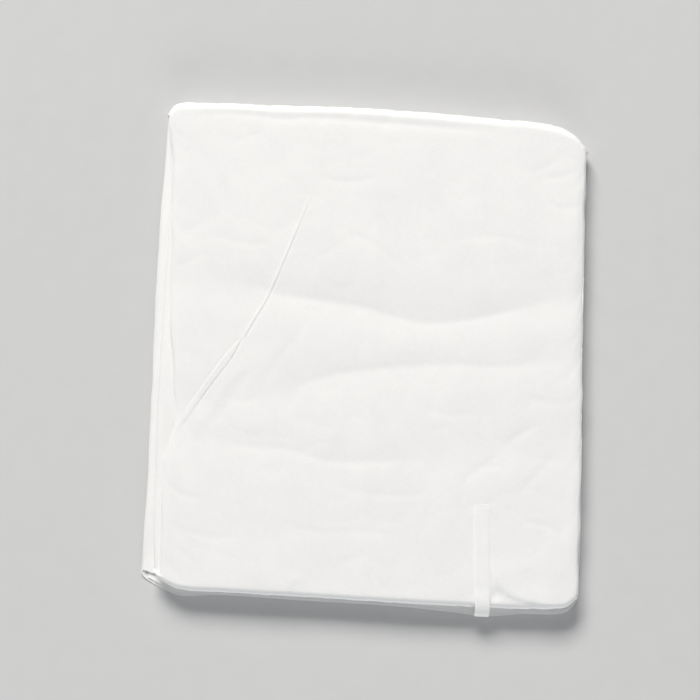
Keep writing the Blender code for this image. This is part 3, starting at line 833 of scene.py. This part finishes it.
HIDDEN_PLIES = (             # height, inset from both sides, stations left out at the neck
    (0.8, 3.4, 0), (1.3, 5.2, 0), (1.8, 4.3, 1), (2.3, 3.4, 1),
)
HIDDEN_COLUMNS = 44
HIDDEN_SEED = 30


def hidden_plies():
    """Sleeves and back panels in the neck and waist thirds: four plies inside the front sheet."""
    neck, lower, waist, upper = HIDDEN_STEPS
    stations = (neck_third(neck) + lower_turn(lower) + waist_third(waist)
                + upper_turn(upper)[:-HIDDEN_END])
    plies = []
    for index, (height, inset, start) in enumerate(HIDDEN_PLIES):
        def spans(station, inset=inset):
            return station.sides[0] + inset, station.sides[1] - inset
        plies.append(flat_sheet("ply_%d" % index, stations[start:], spans, HIDDEN_COLUMNS, height,
                                HIDDEN_SEED + index))
    bpy.ops.object.select_all(action="DESELECT")
    for ply in plies:
        ply.select_set(True)
    bpy.context.view_layer.objects.active = plies[0]
    bpy.ops.object.join()
    plies[0].name = "hidden_plies"
    plies[0].data.name = "hidden_plies"
    return plies[0]


def surface_under(piece):
    """A function that gives the height, in mm, of a piece's surface at places seen from above."""
    mesh = piece.data
    tree = BVHTree.FromPolygons([vertex.co for vertex in mesh.vertices],
                                [polygon.vertices for polygon in mesh.polygons])

    def height(x, y):
        start = Vector(((x + PACKET_SHIFT[0]) * MM, (y + PACKET_SHIFT[1]) * MM, 1.0))
        hit = tree.ray_cast(start, Vector((0.0, 0.0, -1.0)))[0]
        return hit.z / MM
    return height


def waist_tie(below):
    """The tie: laid on the creased top sheet, then round the lower turn and into the slot."""
    surface = surface_under(below)
    lay = np.arange(TIE_ROOT_Y, TIE_LEAVES_Y, -TIE_STEP)
    lift_x, lift = TIE_LIFT
    path = softened(((lay[-1], surface(lift_x, lay[-1]) + lift), *TIE_LOOP), TIE_LOOP_PARTS)
    ys = np.concatenate([lay[:-1], path[:, 0]])
    middles = look_up(TIE_SIDES, ys)
    sway, sway_size, sway_row = TIE_SWAY
    uneven, uneven_size, uneven_row = TIE_UNEVEN
    clear_at_root, clear, root_reach = TIE_CLEAR
    shares = np.linspace(-1.0, 1.0, TIE_COLUMNS + 1)
    half = TIE_WIDTH / 2.0
    rows = []
    for index, (y, middle) in enumerate(zip(ys, middles)):
        aside = sway * noise.noise(Vector((y / sway_size, sway_row, 0.0)))
        wider = uneven * noise.noise(Vector((y / uneven_size, uneven_row, 0.0)))
        x = middle + aside - shares * half * (1.0 + wider)
        laid = TIE_SHEET + mix(clear_at_root, clear, smooth((TIE_ROOT_Y - y) / root_reach))
        past = index - len(lay) + 1      # rows past the start of the loop
        if past < TIE_BLEND:
            z = np.array([surface(place, y) for place in x]) + laid
        if past > 0:
            looped = crowned(x, y, path[past][1] + TIE_SHEET / 2.0) + 0.0 * x
            z = mix(z, looped, smooth(past / TIE_BLEND)) if past < TIE_BLEND else looped
        rows.append(np.stack([x, np.full(x.shape, y), z], axis=-1))
    points = np.array(rows)
    points[..., 2] = ironed(points[..., 2], len(lay) + TIE_BLEND)
    normals = grid_normals(points)
    edge = np.abs(shares)[None, :]
    bend, start = TIE_EDGES
    rise = -bend * smooth((edge - start) / (1.0 - start))
    across, along = run_lengths(points, 1), run_lengths(points, 0)
    rise = rise - TIE_WELD_DEPTH * weld_spots(across - half, along)
    swell, size, seed = TIE_SWELL
    rise = rise + swell * unevenness(points, size, seed)
    points = points + normals * rise[..., None]
    return sheet_from("waist_tie", points, across, along, TIE_SHEET)


def ironed(heights, count):
    """The tie bridges the finest creases below it."""
    rounds, sink = TIE_IRONING
    result = heights.copy()
    for _ in range(rounds):
        before, inner, after = result[:count - 2], result[1:count - 1], result[2:count]
        result[1:count - 1] = 0.25 * before + 0.5 * inner + 0.25 * after
    return np.maximum(result, heights - sink)


def weld_spots(x, y):
    """1 in the middle of each welded spot at the tie's root, falling to 0."""
    total = np.zeros(x.shape)
    for column in range(TIE_WELDS[0]):
        for row in range(TIE_WELDS[1]):
            place_x = (column - (TIE_WELDS[0] - 1) / 2.0) * TIE_WELD_PITCH[0]
            place_y = TIE_WELD_START + row * TIE_WELD_PITCH[1]
            total += np.exp(-((x - place_x) / TIE_WELD_HALF[0]) ** 4
                            - ((y - place_y) / TIE_WELD_HALF[1]) ** 4)
    return total


def node(tree, kind, place, values=None, **settings):
    """A shader node with its settings and the values of its unlinked inputs."""
    made = tree.nodes.new(kind)
    made.location = place
    for key, value in settings.items():
        setattr(made, key, value)
    for socket, value in (values or {}).items():
        made.inputs[socket].default_value = value
    return made


def placed_by(tree, place, source, turn, scale):
    """Cloth distances, turned about the sheet's corner and scaled across and along."""
    made = node(tree, "ShaderNodeMapping", place,
                {"Rotation": (0.0, 0.0, turn), "Scale": (*scale, 1.0)})
    tree.links.new(source, made.inputs["Vector"])
    return made.outputs["Vector"]


def noise_texture(tree, place, source, scale, detail, roughness, **settings):
    made = node(tree, "ShaderNodeTexNoise", place,
                {"Scale": scale, "Detail": detail, "Roughness": roughness}, **settings)
    tree.links.new(source, made.inputs["Vector"])
    return made.outputs["Fac"]


def ranged(tree, place, source, low, high, to=(0.0, 1.0), **settings):
    made = node(tree, "ShaderNodeMapRange", place,
                {"From Min": low, "From Max": high, "To Min": to[0], "To Max": to[1]}, **settings)
    tree.links.new(source, made.inputs["Value"])
    return made.outputs["Result"]


def arithmetic(tree, place, operation, *terms):
    """A Math node whose terms are numbers or the outputs of other nodes."""
    made = node(tree, "ShaderNodeMath", place, operation=operation)
    for socket, term in zip(made.inputs, terms):
        if isinstance(term, float):
            socket.default_value = term
        else:
            tree.links.new(term, socket)
    return made.outputs["Value"]


def two_colours(tree, place, source, colours):
    ramp = node(tree, "ShaderNodeValToRGB", place)
    for element, colour in zip(ramp.color_ramp.elements, colours):
        element.color = (*colour, 1.0)
    tree.links.new(source, ramp.inputs["Fac"])
    return ramp.outputs["Color"]


def cloth_material(name, colours, roughness, bond, fibre, cloud, sheen):
    """White nonwoven: a cloudy web of fibres held by rows of bond points. Sizes are in mm."""
    material = bpy.data.materials.new(name)
    material.use_nodes = True
    tree = material.node_tree
    link = tree.links.new
    shader = tree.nodes["Principled BSDF"]
    shader.inputs["Sheen Weight"].default_value = sheen
    for socket, value in CLOTH_SHADER.items():
        shader.inputs[socket].default_value = value
    cloth = node(tree, "ShaderNodeUVMap", (-1500, 0), uv_map="cloth").outputs["UV"]

    pitch = PER_METRE / bond
    rows = placed_by(tree, (-1300, 300), cloth, BOND_ANGLE, (pitch, pitch))
    bonds = node(tree, "ShaderNodeTexVoronoi", (-1100, 300), {"Scale": 1.0, "Randomness": 0.0})
    link(rows, bonds.inputs["Vector"])
    dots = ranged(tree, (-900, 300), bonds.outputs["Distance"], *BOND_EDGE,
                  interpolation_type="SMOOTHSTEP")

    webs = []
    for index, (angle, stretch) in enumerate(WEB_LAYS):
        low = -index * 260
        lay = placed_by(tree, (-1300, low), cloth, math.radians(angle),
                        (PER_METRE / (fibre * stretch), PER_METRE / fibre))
        webs.append(noise_texture(tree, (-1100, low), lay, 1.0, 3.0, 0.55))
    two = arithmetic(tree, (-900, -60), "ADD", webs[0], webs[1])
    three = arithmetic(tree, (-760, -60), "ADD", two, webs[2])
    fibres = ranged(tree, (-620, -60), three, *WEB_SUM)

    blotches = noise_texture(tree, (-1100, -860), cloth, PER_METRE / cloud, 4.0, 0.6)
    clouds = ranged(tree, (-900, -860), blotches, 0.3, 0.7)
    cloudy = arithmetic(tree, (-620, -300), "MULTIPLY", clouds, CLOUD_SHARE)
    shade = arithmetic(tree, (-460, -300), "MULTIPLY_ADD", fibres, FIBRE_SHARE, cloudy)
    link(two_colours(tree, (-300, -200), shade, colours), shader.inputs["Base Color"])
    gloss = ranged(tree, (-300, 120), dots, 0.0, 1.0, (roughness - BOND_SHINE, roughness))
    link(gloss, shader.inputs["Roughness"])

    wrinkles = noise_texture(tree, (-1100, -1120), cloth, PER_METRE / WRINKLE_SIZE, 3.0, 0.5,
                             noise_type="RIDGED_MULTIFRACTAL")
    reliefs = (              # height, its distance in metres, strength
        (wrinkles, 0.00014, 0.35), (clouds, 0.00004, 0.3), (fibres, 0.00003, 0.5),
        (dots, 0.00004, 0.35),
    )
    last = None
    for height, distance, strength in reliefs:
        bump = node(tree, "ShaderNodeBump", (-120, -600),
                    {"Distance": distance, "Strength": strength})
        link(height, bump.inputs["Height"])
        if last:
            link(last.outputs["Normal"], bump.inputs["Normal"])
        last = bump
    link(last.outputs["Normal"], shader.inputs["Normal"])
    return material


def floor_material():
    """Plain pale grey, with a hardly visible grain."""
    material = bpy.data.materials.new("floor")
    material.use_nodes = True
    tree = material.node_tree
    shader = tree.nodes["Principled BSDF"]
    shader.inputs["Roughness"].default_value = 0.95
    shader.inputs["Specular IOR Level"].default_value = 0.1
    place = node(tree, "ShaderNodeTexCoord", (-900, 0)).outputs["Object"]
    grain = noise_texture(tree, (-700, 0), place, 60.0, 4.0, 0.5)
    colour = two_colours(tree, (-460, 0), grain, FLOOR_COLOURS)
    tree.links.new(colour, shader.inputs["Base Color"])
    return material


def paint(piece, material):
    piece.data.materials.clear()
    piece.data.materials.append(material)


def add_floor():
    bpy.ops.object.select_all(action="DESELECT")
    bpy.ops.mesh.primitive_plane_add(size=FLOOR_SIZE, location=(0.0, 0.0, -FLOOR_DROP))
    floor = bpy.context.object
    floor.name = "floor"
    paint(floor, floor_material())


def add_light(name, size, power, place, colour):
    """An area light that looks at the packet."""
    data = bpy.data.lights.new(name, "AREA")
    data.shape = "RECTANGLE"
    data.size, data.size_y = size
    data.energy = power
    data.color = colour
    lamp = bpy.data.objects.new(name, data)
    bpy.context.scene.collection.objects.link(lamp)
    lamp.location = place
    lamp.rotation_euler = (-Vector(place)).to_track_quat("-Z", "Y").to_euler()


def add_lights():
    for light in LIGHTS:
        add_light(*light)
    world = bpy.data.worlds.new("studio")
    bpy.context.scene.world = world
    world.use_nodes = True
    room = world.node_tree.nodes["Background"]
    room.inputs["Color"].default_value = ROOM_COLOUR
    room.inputs["Strength"].default_value = ROOM_STRENGTH


def add_camera():
    """Over the packet at the photo's angle, with the packet turned and placed as in its frame."""
    centre = Vector((PACKET_SHIFT[0], PACKET_SHIFT[1], TOP_SHEET_Z)) * MM
    back = Vector((0.0, -math.cos(CAMERA_ELEVATION), math.sin(CAMERA_ELEVATION)))
    data = bpy.data.cameras.new("camera")
    camera = bpy.data.objects.new("camera", data)
    bpy.context.scene.collection.objects.link(camera)
    width = PHOTO_MM_PER_PIXEL * PHOTO_SIZE * MM
    data.sensor_width = SENSOR
    data.lens = data.sensor_width * CAMERA_DISTANCE / width
    aim = (-back).to_track_quat("-Z", "Y")
    roll = Vector((0.0, 0.0, 1.0))
    camera.rotation_mode = "QUATERNION"
    camera.rotation_quaternion = aim @ Quaternion(roll, PACKET_ROLL)
    right = camera.rotation_quaternion @ Vector((1.0, 0.0, 0.0))
    up = camera.rotation_quaternion @ Vector((0.0, 1.0, 0.0))
    step = PHOTO_MM_PER_PIXEL * MM
    shift = (right * (PHOTO_SIZE / 2 - PACKET_PIXEL[0]) + up * (PACKET_PIXEL[1] - PHOTO_SIZE / 2))
    camera.location = centre + back * CAMERA_DISTANCE + shift * step
    bpy.context.scene.camera = camera


def main():
    outside = cloth_material("gown_cloth", *FINISHES["gown_cloth"])
    # the same cloth as outside, darker and bluer: painted shade on the hidden plies
    inside = cloth_material("inner_plies", *FINISHES["inner_plies"])
    tape = cloth_material("tie_cloth", *FINISHES["tie_cloth"])

    front = front_sheet()
    paint(front, outside)
    plies = hidden_plies()
    paint(plies, inside)
    back_left = back_sheet("back_left_sheet", *BACK_LEFT)
    paint(back_left, outside)
    back_right = back_sheet("back_right_sheet", *BACK_RIGHT)
    paint(back_right, outside)
    tie = waist_tie(front)
    paint(tie, tape)

    for piece, solid, slot in ((front, "front_panel", "gown_cloth"),
                               (plies, "folded_core", "inner_plies"),
                               (back_left, "back_panel_left", "gown_cloth"),
                               (back_right, "back_panel_right", "gown_cloth"),
                               (tie, "waist_tie_right", "tie_cloth")):
        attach(piece, "root")
        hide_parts(solid)

    add_floor()
    add_lights()
    add_camera()
    bpy.context.scene.view_settings.view_transform = "Standard"


main()
